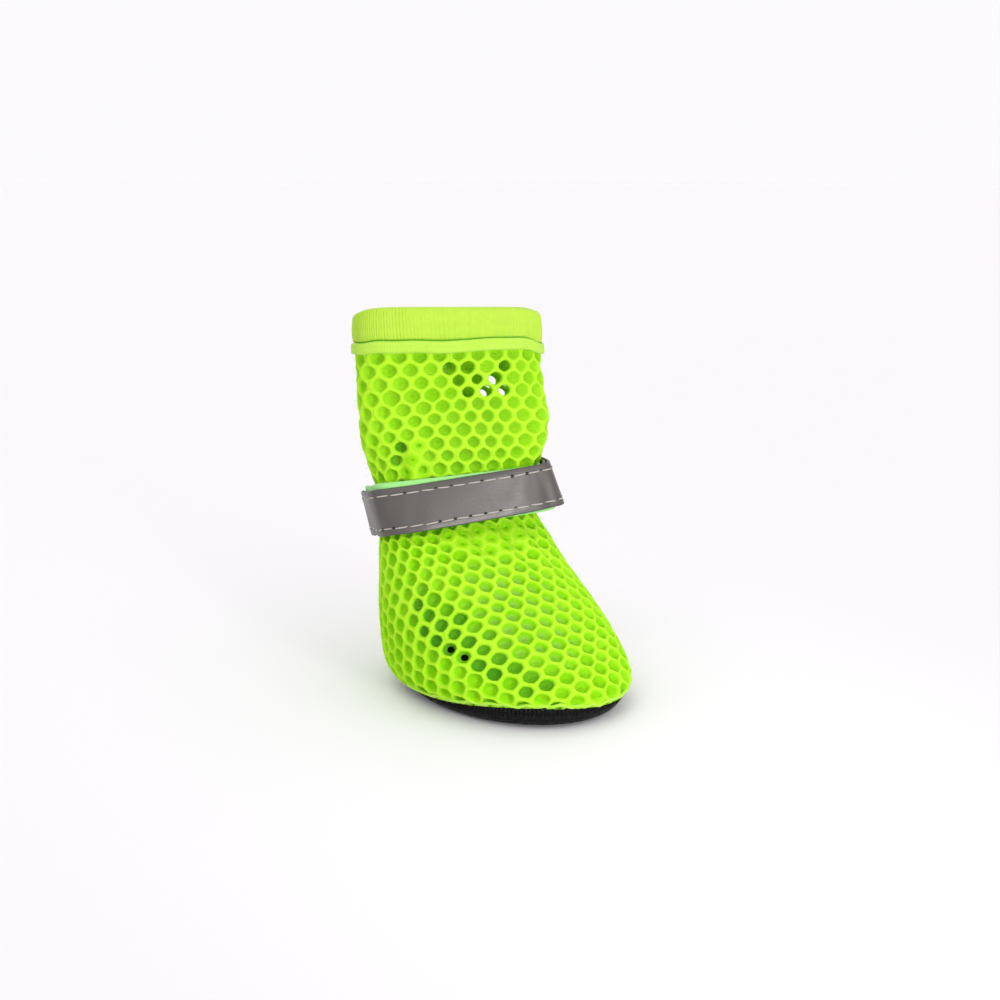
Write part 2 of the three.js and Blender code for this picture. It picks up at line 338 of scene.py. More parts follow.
# The soft mesh slumps over the sole's edge, and its collar stands a little higher in front than behind.
slumps = [
    {"at": -118, "reach": 42, "drop": 1.5, "swell": 1.3},
    {"at": 16, "reach": 40, "drop": 1.0, "swell": 0.5},
    {"at": 128, "reach": 40, "drop": 0.7, "swell": 0.7},
]
slumpFade = (5.0, 13.0)     # whole below the first level, nothing above the second
collarTilt = {"slope": 0.088, "towards": (0.72, -0.69), "from": 56.0, "to": 80.0, "middle": (-19.0, 0.0),
              "lift": 0.75}
collarSags = [{"at": -112, "reach": 36, "drop": 1.9}, {"at": 72, "reach": 26, "drop": 1.2}]
sagFade = (70, 88)


def formPoint(angle, level, grow=0.0):
    # the boot's form; levels near the hem rise with the sole's edge and slump over it
    angle, level, grow = np.broadcast_arrays(*(np.asarray(part, float) for part in (angle, level, grow)))
    low = smoothstep(slumpFade[1], slumpFade[0], level)
    drop = sum(slump["drop"] * bell(angle, slump) for slump in slumps) * low
    swell = sum(slump["swell"] * bell(angle, slump) for slump in slumps) * low
    drop = drop + sum(sag["drop"] * bell(angle, sag) for sag in collarSags) * smoothstep(*sagFade, level)
    point = sectionPoint(lastSections, angle, level, grow + swell)
    point[..., 2] += edgeRaise(angle) * smoothstep(rim["blend"], rim["level"], level) - drop
    lean = ((point[..., 0] - collarTilt["middle"][0]) * collarTilt["towards"][0]
            + (point[..., 1] - collarTilt["middle"][1]) * collarTilt["towards"][1])
    share = smoothstep(collarTilt["from"], collarTilt["to"], level)
    point[..., 2] += (collarTilt["slope"] * lean + collarTilt["lift"]) * share
    return point


def unit(vector):
    # the vector over its length
    return vector / np.maximum(np.linalg.norm(vector, axis=-1, keepdims=True), 1e-12)


def formNormal(angle, level):
    # across two short steps on the form, one round it and one up it
    step = 0.01
    around = formPoint(angle + step, level) - formPoint(angle - step, level)
    upward = formPoint(angle, level + step) - formPoint(angle, level - step)
    return unit(np.cross(around, upward))


# Folds pressed into the mesh: from (angle in degrees, level) to (angle, level), width, and depth, which is
# negative for a trough.
folds = [
    ((-42, 50), (-41, 59), 1.7, -1.1),  # pleat above the strap
    ((-31, 50), (-35, 61), 2.3, 0.9),
    ((-22, 50), (-24, 57), 1.8, -0.6),
    ((-75, 50), (-70, 57), 2.4, -0.6),
    ((36, 50), (58, 62), 6.5, 1.9),     # the shaft swells on its left side
    ((24, 50), (30, 56), 1.8, -0.6),
    ((-28, 39), (-30, 32), 1.5, -0.5),  # gathers under the strap
    ((-17, 39), (-18, 31), 1.5, 0.5),
    ((-6, 39), (-7, 31), 1.3, -0.6),
    ((4, 39), (3, 30), 1.4, 0.5),
    ((14, 39), (12, 31), 1.3, -0.6),
    ((25, 39), (21, 30), 1.5, 0.6),
    ((37, 39), (31, 31), 1.6, -0.6),
    ((-80, 24), (-45, 13), 5.5, -0.5),  # slack over the foot
    ((-140, 12), (-95, 9), 4.0, 0.5),
    ((-150, 52), (-172, 60), 4.0, -0.9),
    ((150, 56), (168, 49), 3.5, 0.7),
    ((120, 24), (150, 14), 6.0, -0.7),
    ((95, 30), (80, 38), 3.5, -0.6),
]
strapPull = {"level": 43.0, "reach": 5.0, "depth": 0.9}     # the strap draws the ankle in
foldRadius = 20.0       # millimetres of girth for each radian, for judging how far a point is from a fold
# folds grow from nothing at the first level to whole at the second
foldFadeLow, foldFadeHigh = (rim["level"] + 0.5, 10), (upperTop, 72)


def foldHeight(angle, level):
    # each fold is a bell across its line and fades over its ends
    angle, level = np.broadcast_arrays(np.asarray(angle, float), np.asarray(level, float))
    total = np.zeros(angle.shape)
    for first, last, width, depth in folds:
        start = np.array([radians(first[0]) * foldRadius, first[1]])
        run = np.array([radians(last[0]) * foldRadius, last[1]]) - start
        offset = np.stack([angle * foldRadius - start[0], level - start[1]], -1)
        share = np.clip(offset @ run / (run @ run), 0, 1)
        away = np.linalg.norm(offset - share[..., None] * run, axis=-1)
        total += depth * np.exp(-(away / width) ** 2)
    total -= strapPull["depth"] * np.exp(-((level - strapPull["level"]) / strapPull["reach"]) ** 2)
    return total * smoothstep(*foldFadeLow, level) * smoothstep(*foldFadeHigh, level)


# Mesh helpers.
def gridFaces(rows, columns, wrapRows=False, wrapColumns=False):
    # four-sided faces of a grid whose points are numbered row by row
    row = np.arange(rows if wrapRows else rows - 1)[:, None]
    column = np.arange(columns if wrapColumns else columns - 1)[None, :]
    nextRow, nextColumn = (row + 1) % rows, (column + 1) % columns
    return np.stack([row * columns + column, nextRow * columns + column,
                     nextRow * columns + nextColumn, row * columns + nextColumn], -1).reshape(-1, 4)


def addPiece(name, parts, material, replaces=(), uv=None, attributes=None):
    # one object from (points in millimetres, faces) parts; it rides on the boot's only body
    points, faces, start = [], [], 0
    for partPoints, partFaces in parts:
        partPoints = np.asarray(partPoints, float).reshape(-1, 3)
        points.append(partPoints)
        for group in (partFaces if isinstance(partFaces, list) else [partFaces]):
            faces.extend((np.asarray(group) + start).tolist())
        start += len(partPoints)
    mesh = bpy.data.meshes.new(name)
    mesh.from_pydata(np.concatenate(points) * millimetre, [], faces)
    mesh.shade_smooth()
    if uv is not None:
        layer = mesh.uv_layers.new(name="cloth")
        corner = np.empty(len(mesh.loops), np.int32)
        mesh.loops.foreach_get("vertex_index", corner)
        spots = np.asarray(uv, float).reshape(-1, 2)[corner]
        starts = np.empty(len(mesh.polygons), np.int32)
        mesh.polygons.foreach_get("loop_start", starts)
        sizes = np.diff(np.append(starts, len(corner)))
        wide = np.ptp(np.asarray(uv, float).reshape(-1, 2), axis=0)
        for axis in range(2):       # faces that close a ring carry on instead of running back to its start
            most = np.repeat(np.maximum.reduceat(spots[:, axis], starts), sizes)
            spots[:, axis] += np.where(most - spots[:, axis] > wide[axis] / 2, wide[axis], 0)
        layer.data.foreach_set("uv", spots.ravel())
    for key, values in (attributes or {}).items():
        attribute = mesh.attributes.new(key, "FLOAT", "POINT")
        attribute.data.foreach_set("value", np.asarray(values, float).ravel())
    mesh.materials.append(material)
    piece = bpy.data.objects.new(name, mesh)
    scene.collection.objects.link(piece)
    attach(piece, "root")
    if replaces:
        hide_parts(*replaces)
    print(name, len(mesh.polygons), "faces")


def runningLength(points, axis=0):
    # length along lines of points, summed from 0 at each line's first point
    steps = np.linalg.norm(np.diff(points, axis=axis), axis=-1)
    return np.insert(steps.cumsum(axis), 0, 0.0, axis)


def ringUv(points):
    # map of a grid of rings: metres along the rows and metres across them
    around, across = runningLength(points), runningLength(points, 1)
    return np.stack([np.repeat(around.mean(1)[:, None], points.shape[1], 1), across], -1) * millimetre


def addLoop(name, points, material, replaces=()):
    # a piece whose grid of points closes on itself both ways
    faces = gridFaces(*points.shape[:2], True, True)
    addPiece(name, [(points, faces)], material, replaces, ringUv(points))


def addCapped(name, points, material, replaces=(), flip=False):
    # a piece whose grid closes across its rows, with a flat cap on its first and last row
    rows, columns = points.shape[:2]
    faces = gridFaces(rows, columns, wrapColumns=True)
    ends = np.arange(columns)[None]
    lastEnd = ends[:, ::-1] + columns * (rows - 1)
    addPiece(name, [(points, [faces[:, ::-1] if flip else faces, ends, lastEnd])], material,
             replaces, ringUv(points))


def tubes(paths, normals, radii, sides):
    # many round threads at once: rings of points about each path, closed by a cap at either end
    count, steps = paths.shape[:2]
    along = unit(np.gradient(paths, axis=1))
    side = unit(np.cross(along, normals))
    lift = np.cross(side, along)
    turn = turns(sides)
    ring = (np.cos(turn)[:, None] * lift[:, :, None] + np.sin(turn)[:, None] * side[:, :, None])
    points = paths[:, :, None] + ring * radii[..., None, None]
    offset = (np.arange(count) * steps * sides)[:, None, None]
    walls = (gridFaces(steps, sides, wrapColumns=True)[None] + offset)[..., ::-1].reshape(-1, 4)
    ends = np.arange(sides)[None] + offset[:, 0]
    return points.reshape(-1, 3), [walls, ends, ends[:, ::-1] + (steps - 1) * sides]


def domes(centres, normals, radius, height, sides=8, levels=(0.0, 0.55, 0.85)):
    # many low domes at once: rings that shrink as they rise, closed at the top
    side = unit(np.cross(normals, np.array([0.31, 0.22, 0.93])))
    other = np.cross(normals, side)
    turn = turns(sides)
    ring = np.cos(turn)[:, None] * side[:, None] + np.sin(turn)[:, None] * other[:, None]
    levels = np.asarray(levels)
    width = np.sqrt(1 - levels**2)
    points = (centres[:, None, None] + ring[:, None] * (radius * width)[:, None, None]
              + normals[:, None, None] * (height * levels)[:, None, None])
    count, rings = len(centres), len(levels)
    offset = (np.arange(count) * rings * sides)[:, None, None]
    walls = (gridFaces(rings, sides, wrapColumns=True)[None] + offset)[..., ::-1].reshape(-1, 4)
    ends = np.arange(sides)[None] + offset[:, 0]
    return points.reshape(-1, 3), [walls, ends[:, ::-1], ends + (rings - 1) * sides]


# Spacer mesh of the upper.
meshCloth = {
    "pitch": 4.45,            # from hole to hole along a row
    "rowStep": 3.2,           # from row to row
    "bar": 0.28,              # from a bar's middle to its edge
    "hole": 1.63,             # no point of a hole's edge lies further from its middle
    "backHole": 0.05,         # radius of the hole left in the cloth's back face
    "openHole": 1.70,         # the same where the shaft's back face is slack
    "footHole": 0.95,         # and where the foot's is
    "shaftLevel": 40,         # where the shaft begins
    "overhang": 0.6,          # how far past the cut edge a cell's middle may lie, in steps of the flat grid
    "thickness": 1.6,
    "ridge": 0.20,            # how far the bars' crowns stand up
    "wander": 0.34,           # how far the knitting strays from a true lattice
    "shear": 0.30,            # how far the back face's holes lie from the outer face's
}
# Places on the form, with radii round it in degrees and up it in millimetres.
closedPlaces = [              # a fold or a pull closes the holes
    {"at": (-32, 55.0), "reach": (8, 4.8)},
    {"at": (6, 37.6), "reach": (30, 2.8)},
]
openPlaces = [                # the back face is slack and lets light through
    {"at": (9, 73), "reach": (20, 4.6), "share": 0.78},
    {"at": (125, 65.5), "reach": (38, 8.5)},
    {"at": (-62, 17.2), "reach": (12, 2.0)},
]
paintedShadePlaces = [              # painted shade: the back faces of these holes are painted dark green, for the shade inside the boot
    {"at": (-68, 22.0), "reach": (17, 6.5)},
    {"at": (-50, 16), "reach": (14, 5.0)},
    {"at": (-34, 11.5), "reach": (9, 3.2)},
    {"at": (-43, 56), "reach": (5, 4.0)},
    {"at": (4, 61), "reach": (24, 8), "share": 0.30},
]
palePlaces = [                # the back face shows greyer
    {"at": (-14, 24), "reach": (30, 9)},
]


def flattenCloth(bottom, top):
    # lays the form flat as cloth: a grid cut at the centre back is relaxed until its edges and diagonals
    # have their real lengths, coarse first, with its collar edge held straight
    flat = None
    for around, up, rounds in ((25, 16, 400), (49, 31, 400), (97, 61, 600)):
        angles, levels = np.linspace(-pi, pi, around), np.linspace(bottom, top, up)
        solid = formPoint(angles[:, None], levels[None, :])
        if flat is None:
            girth, rise = runningLength(solid), runningLength(solid, 1)
            flat = np.stack([girth - girth[around // 2], rise - rise[:, -1:]], -1)
        else:
            wide = np.empty((around, flat.shape[1], 2))
            wide[::2], wide[1::2] = flat, (flat[1:] + flat[:-1]) / 2
            flat = np.empty((around, up, 2))
            flat[:, ::2], flat[:, 1::2] = wide, (wide[:, 1:] + wide[:, :-1]) / 2
        full, ahead, behind = slice(None), slice(1, None), slice(None, -1)
        pairs = [((ahead, full), (behind, full)), ((full, ahead), (full, behind)),
                 ((ahead, ahead), (behind, behind)), ((ahead, behind), (behind, ahead))]
        lengths = [np.linalg.norm(solid[a] - solid[b], axis=-1) for a, b in pairs]
        for _ in range(rounds):
            push, count = np.zeros_like(flat), np.zeros(flat.shape[:2])
            for (a, b), length in zip(pairs, lengths):
                apart = flat[a] - flat[b]
                now = np.linalg.norm(apart, axis=-1) + 1e-9
                move = apart * (0.5 * (length - now) / now)[..., None]
                push[a] += move
                push[b] -= move
                count[a] += 1
                count[b] += 1
            flat = flat + 1.6 * push / count[..., None]
            flat[:, -1, 1] = 0
    return angles, levels, flat


def placeOnForm(cloth, spots, guess):
    # where flat spots lie on the form: Newton's steps on the flat grid, which is bilinear in each square
    angles, levels, flat = cloth
    place = guess.copy()
    for _ in range(8):
        i = np.clip(np.floor(place[..., 0]).astype(int), 0, len(angles) - 2)
        j = np.clip(np.floor(place[..., 1]).astype(int), 0, len(levels) - 2)
        s, t = (place[..., 0] - i)[..., None], (place[..., 1] - j)[..., None]
        a, b, c, d = flat[i, j], flat[i + 1, j], flat[i, j + 1], flat[i + 1, j + 1]
        here = a * (1 - s) * (1 - t) + b * s * (1 - t) + c * (1 - s) * t + d * s * t
        alongI, alongJ = (b - a) * (1 - t) + (d - c) * t, (c - a) * (1 - s) + (d - b) * s
        miss = spots - here
        area = alongI[..., 0] * alongJ[..., 1] - alongI[..., 1] * alongJ[..., 0]
        place = place + np.stack([miss[..., 0] * alongJ[..., 1] - miss[..., 1] * alongJ[..., 0],
                                  miss[..., 1] * alongI[..., 0] - miss[..., 0] * alongI[..., 1]],
                                 -1) / area[..., None]
    return place


def toAngleLevel(cloth, place):
    # grid place to (angle, level), held inside the cut cloth
    angles, levels, _ = cloth
    inside = np.clip(place, 0, [len(angles) - 1, len(levels) - 1])
    return (angles[0] + inside[..., 0] * (angles[1] - angles[0]),
            levels[0] + inside[..., 1] * (levels[1] - levels[0]))


def placeShare(places, angle, level):
    # 1 inside any of the places, fading to 0 outside
    share = np.zeros(np.shape(angle))
    fade = (1.4, 0.7)       # in radii: nothing beyond the first, whole within the second
    for place in places:
        across = degreesFrom(angle, place["at"][0]) / place["reach"][0]
        upward = (level - place["at"][1]) / place["reach"][1]
        share = np.maximum(share, place.get("share", 1.0) * smoothstep(*fade, np.hypot(across, upward)))
    return share


def meshCells(cloth):
    # the middles of the lattice's cells that lie on the cloth, and their places on the flat grid: every other
    # row is shifted by half a pitch
    angles, levels, flat = cloth
    pitch, rowStep = meshCloth["pitch"], meshCloth["rowStep"]
    low, high = flat.min((0, 1)) - pitch, flat.max((0, 1)) + pitch
    rows = np.arange(ceil(low[1] / rowStep), ceil(high[1] / rowStep))
    columns = np.arange(ceil(low[0] / pitch), ceil(high[0] / pitch))
    grid = np.stack(np.meshgrid(columns, rows, indexing="ij"), -1).reshape(-1, 2)
    centres = np.stack([(grid[:, 0] + 0.5 * (grid[:, 1] % 2)) * pitch, grid[:, 1] * rowStep], -1)
    away = np.linalg.norm(centres[:, None] - flat.reshape(1, -1, 2), axis=-1)
    nearest = away.argmin(1)
    guess = np.stack([nearest // len(levels), nearest % len(levels)], -1).astype(float)
    near = away.min(1) < pitch
    centres = centres[near]
    place = placeOnForm(cloth, centres, guess[near])
    held = np.clip(place, 0, [len(angles) - 1, len(levels) - 1])
    keep = np.linalg.norm(place - held, axis=-1) < meshCloth["overhang"]
    return centres[keep], held[keep]


def cellTraits(angle, level):
    # how the cells differ: shares from the places they lie in, varied by chance
    count = len(angle)
    closed = placeShare(closedPlaces, angle, level)
    opened = placeShare(openPlaces, angle, level)
    opened = np.where((opened > 0.4) & (rng.random(count) < opened), 1.0, 0.0)
    pale = placeShare(palePlaces, angle, level) * (0.75 + 0.25 * rng.random(count))
    paintedShade = placeShare(paintedShadePlaces, angle, level) * (0.35 + 0.65 * rng.random(count))
    thin = 1 - 0.45 * smoothstep(40, 58, level)     # painted light: the shaft's holes are painted lighter, for light that comes through the cloth
    thin = thin * (0.65 + 0.6 * rng.random(count))
    wide = (1 + 0.06 * rng.standard_normal(count)) * (1 - 0.84 * closed)
    backRadius = meshCloth["backHole"] * (1 + 0.35 * rng.standard_normal(count)).clip(0.25, 1.8)
    slack = np.where(level > meshCloth["shaftLevel"], meshCloth["openHole"], meshCloth["footHole"])
    backRadius = (backRadius + (slack - backRadius) * opened) * (1 - 0.8 * closed)
    return {"closed": closed, "opened": opened, "pale": pale, "paintedShade": paintedShade, "thin": thin, "wide": wide,
            "backRadius": backRadius}


def cellRings(centres, traits):
    # rings from a bar's crown over the hole's edge, down its wall, over the back face and round to the
    # border: flat spots, heights and depths of painted shade, each by cell, ring and point
    pitch, rowStep, ridge = meshCloth["pitch"], meshCloth["rowStep"], meshCloth["ridge"]
    corner = (pitch**2 / 4 + rowStep**2) / (2 * rowStep)
    half, low = pitch / 2, rowStep - corner
    corners = np.array([(half, -low), (half, low), (0, corner), (-half, low), (-half, -low), (0, -corner)])
    border = np.stack([corners, (corners + np.roll(corners, -1, 0)) / 2], 1).reshape(-1, 2)
    reach = np.linalg.norm(border, axis=-1)
    direction = border / reach[:, None]
    # a hole follows its cell's border at a bar's width, but is rounded off by a circle
    hole = direction * (((reach - meshCloth["bar"]) ** -7 + meshCloth["hole"] ** -7.0) ** (-1 / 7))[:, None]
    outerHole = hole[None] * traits["wide"][:, None, None]
    drift = np.stack([np.sin(centres[:, 1] / 9 + centres[:, 0] / 14), np.cos(centres[:, 0] / 11)], -1)
    backHole = (direction[None] * traits["backRadius"][:, None, None]
                + drift[:, None] * meshCloth["shear"] * (1 - traits["opened"])[:, None, None])
    edge = np.broadcast_to(border, outerHole.shape)
    shallow = (1 - 0.8 * traits["closed"])[:, None]
    # painted shade: each ring's last value darkens the tone, none on the crown and most on the back face
    rings = [
        (edge, ridge * shallow, 0.0),
        (edge * 0.5 + outerHole * 0.5, 0.62 * ridge * shallow, 0.24),
        (outerHole, -0.14 * shallow, 0.62),
        (outerHole * 0.98, -0.98 * shallow, 0.9),
        (backHole, -(0.98 * shallow + 0.16), 1.0),
        (backHole, -(0.98 * shallow + 0.30), 1.0),
        (edge, -meshCloth["thickness"], 0.8),
    ]
    each = outerHole.shape[:2]
    spots = np.stack([ring + centres[:, None] for ring, _, _ in rings], 1)
    heights = np.stack([np.broadcast_to(height, each) for _, height, _ in rings], 1)
    depth = np.stack([np.full(each, value) for _, _, value in rings], 1)
    return spots, heights, depth


def buildUpper(cloth):
    # charts the flat cloth with cells, joins their borders and carries every point back to the form
    centres, place = meshCells(cloth)
    traits = cellTraits(*toAngleLevel(cloth, place))
    spots, heights, depth = cellRings(centres, traits)

    # neighbours share the points of their first and last rings that round to one key; a few round apart, and
    # there each cell is closed by its own wall
    ends = [0, -1]
    keys = np.round(spots[:, ends] * 50).astype(int)        # steps of 0.02 mm
    layer = np.broadcast_to(np.arange(2)[None, :, None, None], keys.shape[:3] + (1,))
    _, first, index = np.unique(np.concatenate([keys, layer], -1).reshape(-1, 3), axis=0,
                                return_index=True, return_inverse=True)
    index = index.reshape(keys.shape[:3])

    def joined(values, width=()):
        # a value for each shared point, then one for each inner point
        shared = values[:, ends].reshape(-1, *width)[first]
        return np.concatenate([shared, values[:, 1:-1].reshape(-1, *width)])

    flatSpots, flatHeights, shade = joined(spots, (2,)), joined(heights), joined(depth)
    guess = joined(np.broadcast_to(place[:, None, None], spots.shape), (2,))
    inner = len(first) + np.arange(heights[:, 1:-1].size).reshape(heights[:, 1:-1].shape)

    # the knitting strays a little from a true lattice
    p, q = flatSpots[:, 0], flatSpots[:, 1]
    stray = np.stack([np.sin(q / 6.1 + 1.3) * np.cos(p / 9.7) + 0.5 * np.sin(p / 3.9 + q / 5.3),
                      np.sin(p / 7.3 + 0.4) * np.cos(q / 8.9) + 0.5 * np.sin(q / 4.1 - p / 6.7)], -1)
    angle, level = toAngleLevel(cloth, placeOnForm(cloth, flatSpots + meshCloth["wander"] * stray, guess))
    out = flatHeights + foldHeight(angle, level)
    points = formPoint(angle, level) + formNormal(angle, level) * out[:, None]

    ringIndex = np.concatenate([index[:, :1], inner, index[:, 1:]], 1)     # cell, ring, point
    there = np.roll(ringIndex, -1, 2)
    walls = np.stack([ringIndex[:, :-1], there[:, :-1], there[:, 1:], ringIndex[:, 1:]], -1).reshape(-1, 4)

    # close the cut edges between the outer and the inner face
    outer = np.stack([ringIndex[:, 0], there[:, 0]], -1).reshape(-1, 2)
    under = np.stack([ringIndex[:, -1], there[:, -1]], -1).reshape(-1, 2)
    _, code, uses = np.unique(np.sort(outer, 1), axis=0, return_inverse=True, return_counts=True)
    cut = uses[code.ravel()] == 1
    edges = np.stack([outer[cut, 1], outer[cut, 0], under[cut, 0], under[cut, 1]], -1)

    # painted shade: each point's depth darkens its tone, more where a fold closes the cell, and painted light
    # lightens it in the shaft; the painted-shade places are painted dark green
    marks = {"depth": shade, "pale": np.zeros(len(shade)), "paintedShade": np.zeros(len(shade))}
    marks["pale"][inner[:, 3:]] = traits["pale"][:, None, None]
    marks["paintedShade"][inner[:, 2:]] = traits["paintedShade"][:, None, None]
    marks["depth"][inner] *= traits["thin"][:, None, None]
    marks["depth"][inner] += 0.6 * traits["closed"][:, None, None]
    print("mesh cells", len(centres))
    return points, np.concatenate([walls, edges]), flatSpots * millimetre, marks


# painted shade down the holes and in the painted-shade places, and a painted glow
limeMesh = clothMaterial("lime spacer mesh", {
    "light": (0.408, 0.705, 0.028), "deep": (0.228, 0.565, 0.003), "sheen": 0.0, "specular": 0.07,
    "marks": {"pale": (0.245, 0.43, 0.085), "paintedShade": (0.028, 0.19, 0.010)},
    "patchScale": 45.0, "speckScale": 1400.0, "paintedShadeAttribute": "depth",
    "along": 700.0, "across": 420.0, "wander": 3.0, "threadDepth": 0.00012, "threadStrength": 0.5,
    "glow": (0.30, 0.85, 0.01), "glowStrength": 0.06,
})
cloth = flattenCloth(upperBottom, upperTop)
print("cloth laid flat")
points, faces, uv, marks = buildUpper(cloth)
addPiece("mesh_upper", [(points, faces)], limeMesh, ["upper"], uv, marks)


# Hem edge and centre-back seam.
# its glow is painted light, for the fluorescent dye
limeBinding = clothMaterial("lime binding", {
    "light": (0.40, 0.71, 0.045), "deep": (0.25, 0.58, 0.015), "patchScale": 90.0,
    "along": 900.0, "across": 500.0, "wander": 2.0,
    "glow": (0.30, 0.85, 0.02), "glowStrength": 0.05,
})
hem = {"level": 5.35, "radius": 0.52, "grow": -0.1, "steps": 480, "sides": 12, "waver": 0.32}


def buildHem():
    # a rolled edge round the foot: circles about a ring on the form
    angle, turn = turns(hem["steps"])[:, None], turns(hem["sides"])
    waver = hem["waver"] * (np.sin(angle * 17) * np.cos(angle * 7) + 0.6 * np.sin(angle * 41 + 1))
    radius = hem["radius"] * (1 + 0.15 * np.sin(angle * 47) * np.sin(angle * 19))
    level = hem["level"] + waver + radius * np.sin(turn)
    return formPoint(angle, level, hem["grow"] + radius * np.cos(turn))


addLoop("hem_edge", buildHem(), limeBinding)

backSeam = {"half": 1.5, "proud": 0.55, "inside": -2.2, "steps": 150, "sides": 20, "flatness": 0.45,
            "stitch": 1.5, "stitchHeight": 0.08}


def buildBackSeam():
    # a low rounded ridge up the centre back that covers the mesh's two cut edges, outside and inside
    level = np.linspace(upperBottom + 0.1, upperTop - 0.2, backSeam["steps"])[:, None]
    turn = turns(backSeam["sides"])
    half = backSeam["half"] / columnsAt(lastSections, level)[..., 3]
    angle = pi + half * np.cos(turn)
    middle, reach = (backSeam["proud"] + backSeam["inside"]) / 2, (backSeam["proud"] - backSeam["inside"]) / 2
    grow = middle + reach * np.sign(np.sin(turn)) * np.abs(np.sin(turn)) ** backSeam["flatness"]
    stitches = np.sin(level * 2 * pi / backSeam["stitch"]) * (np.sin(turn) > 0)
    grow = grow + backSeam["stitchHeight"] * stitches
    return formPoint(angle, level, grow) + formNormal(angle, level) * foldHeight(angle, level)[..., None]


addCapped("back_seam", buildBackSeam(), limeBinding, flip=True)


# Collar.
# the glows of the two collar cloths are painted light, for the fluorescent dye
bandBinding = clothMaterial("ribbed collar binding", {
    "light": (0.402, 0.600, 0.050), "deep": (0.255, 0.50, 0.014), "patchScale": 70.0, "speckScale": 900.0,
    "along": 330.0, "across": 120.0, "wander": 0.6, "threadDepth": 0.00022, "threadStrength": 0.55,
    "glow": (0.45, 0.90, 0.03), "glowStrength": 0.05,
})
lipBinding = clothMaterial("folded lip", {
    "light": (0.398, 0.615, 0.062), "deep": (0.27, 0.53, 0.023), "patchScale": 110.0,
    "along": 500.0, "across": 260.0, "wander": 2.0, "threadDepth": 0.00014,
    "glow": (0.35, 0.88, 0.02), "glowStrength": 0.05,
})
# painted shade: a dark green ring sunk in the groove between the band and the fold, for the groove's shade
grooveShade = clothMaterial("painted groove shade", {
    "light": (0.10, 0.42, 0.004), "deep": (0.03, 0.20, 0.001), "along": 900.0, "across": 900.0,
})
collar = {
    "top": 89.5, "band": 7.4, "proud": 0.6, "swell": 0.18, "corners": (0.55, 1.25), "waveReach": 5.0,
    "ribs": 144, "ribHeight": 0.085, "bandSteps": 720,
    "lip": 2.8, "lipThickness": 0.8, "lipTop": 81.9, "lipCorner": 0.38, "lipSteps": 480,
    "shadeGrow": (-0.4, 0.28), "shadeLevels": (-0.5, 0.9), "shadeCorner": 0.3, "shadeSteps": 360,
}


def collarWave(angle):
    # slow rise and fall of the collar's seam
    return 0.30 * np.sin(angle * 3 + 0.6) + 0.22 * np.sin(angle * 5 - 1.1) + 0.10 * np.sin(angle * 11)


def profileRing(profile, steps, wave=0.0, ribHeight=0.0):
    # a closed profile of (grow, level) carried round the form; ribs push its outer and inner faces in and out
    angle = turns(steps)[:, None]
    grow, level = np.asarray(profile, float).T
    ribs = ribHeight * np.cos(angle * collar["ribs"]) * np.sign(grow + wallThickness / 2)
    return formPoint(angle, level + wave * collarWave(angle), grow + ribs)


def roundedProfile(inside, outside, low, high, cornerLow, cornerHigh, steps=5):
    # a loop up the outside, over a rounded top, down the inside and round the bottom
    turn = np.linspace(0, pi / 2, steps)
    loop = []
    for middleGrow, middleLevel, radius, start in (
            (outside - cornerLow, low + cornerLow, cornerLow, -pi / 2),
            (outside - cornerHigh, high - cornerHigh, cornerHigh, 0),
            (inside + cornerHigh, high - cornerHigh, cornerHigh, pi / 2),
            (inside + cornerLow, low + cornerLow, cornerLow, pi)):
        loop += [(middleGrow + radius * cos(start + t), middleLevel + radius * sin(start + t)) for t in turn]
    return loop


bandLow = collar["top"] - collar["band"]
band = roundedProfile(-wallThickness - collar["proud"], collar["proud"], bandLow, collar["top"],
                      *collar["corners"])
# extra points up the outer face so that it can swell
face = [(collar["proud"] + collar["swell"] * sin(pi * t), bandLow + 0.6 + t * (collar["band"] - 2.0))
        for t in (0.2, 0.4, 0.6, 0.8)]
band = band[:5] + face + band[5:]
points = profileRing(band, collar["bandSteps"], 0.0, collar["ribHeight"])
points[..., 2] += (collarWave(turns(collar["bandSteps"]))[:, None]
                   * smoothstep(bandLow + collar["waveReach"], bandLow, points[..., 2]))
addLoop("collar_binding", points, bandBinding, ["collar_band"])

lipTop = collar["lipTop"]
lip = roundedProfile(gap, gap + collar["lipThickness"], lipTop - collar["lip"], lipTop,
                     collar["lipCorner"], collar["lipCorner"])
points = profileRing(lip, collar["lipSteps"], 1.0)
addLoop("collar_fold", points, lipBinding, ["collar_lip"])

# a dark green ring in the groove under the band: painted shade
shadeLow, shadeHigh = collar["shadeLevels"]
seam = roundedProfile(*collar["shadeGrow"], lipTop + shadeLow, lipTop + shadeHigh,
                      collar["shadeCorner"], collar["shadeCorner"], 3)
addLoop("collar_groove_shade", profileRing(seam, collar["shadeSteps"], 1.0), grooveShade)
print("collar done")


# Strap.
strap = {
    "width": 10.8, "level": 45.7, "thickness": 0.7, "backing": 0.8, "backingSkew": 2.9, "backingExtra": 0.4,
    "lapTurn": 40, "lapStart": 62, "lapRamp": 26, "lean": 7.0, "roll": 3.2, "tip": (0.5, 1.7),
    "stitchInset": 1.6, "stitchPitch": 3.7, "stitchLength": 3.15, "threadRadius": 0.17, "threadSlant": 0.12,
    "needleRadius": 0.48, "needleHeight": 0.05, "needleShare": 0.55, "waver": 0.05,
}
strapDroop = {"at": -125, "reach": 38, "drop": 3.4}     # the strap hangs lower round its right back corner
strapSections = np.array([
    (strap["level"] - strap["width"] / 2, -3.7, -26.4, 20.2, 0, 27, 4.8),
    (strap["level"] + strap["width"] / 2, -7.5, -26.6, 20.0, 0, 31, 4.8),
])


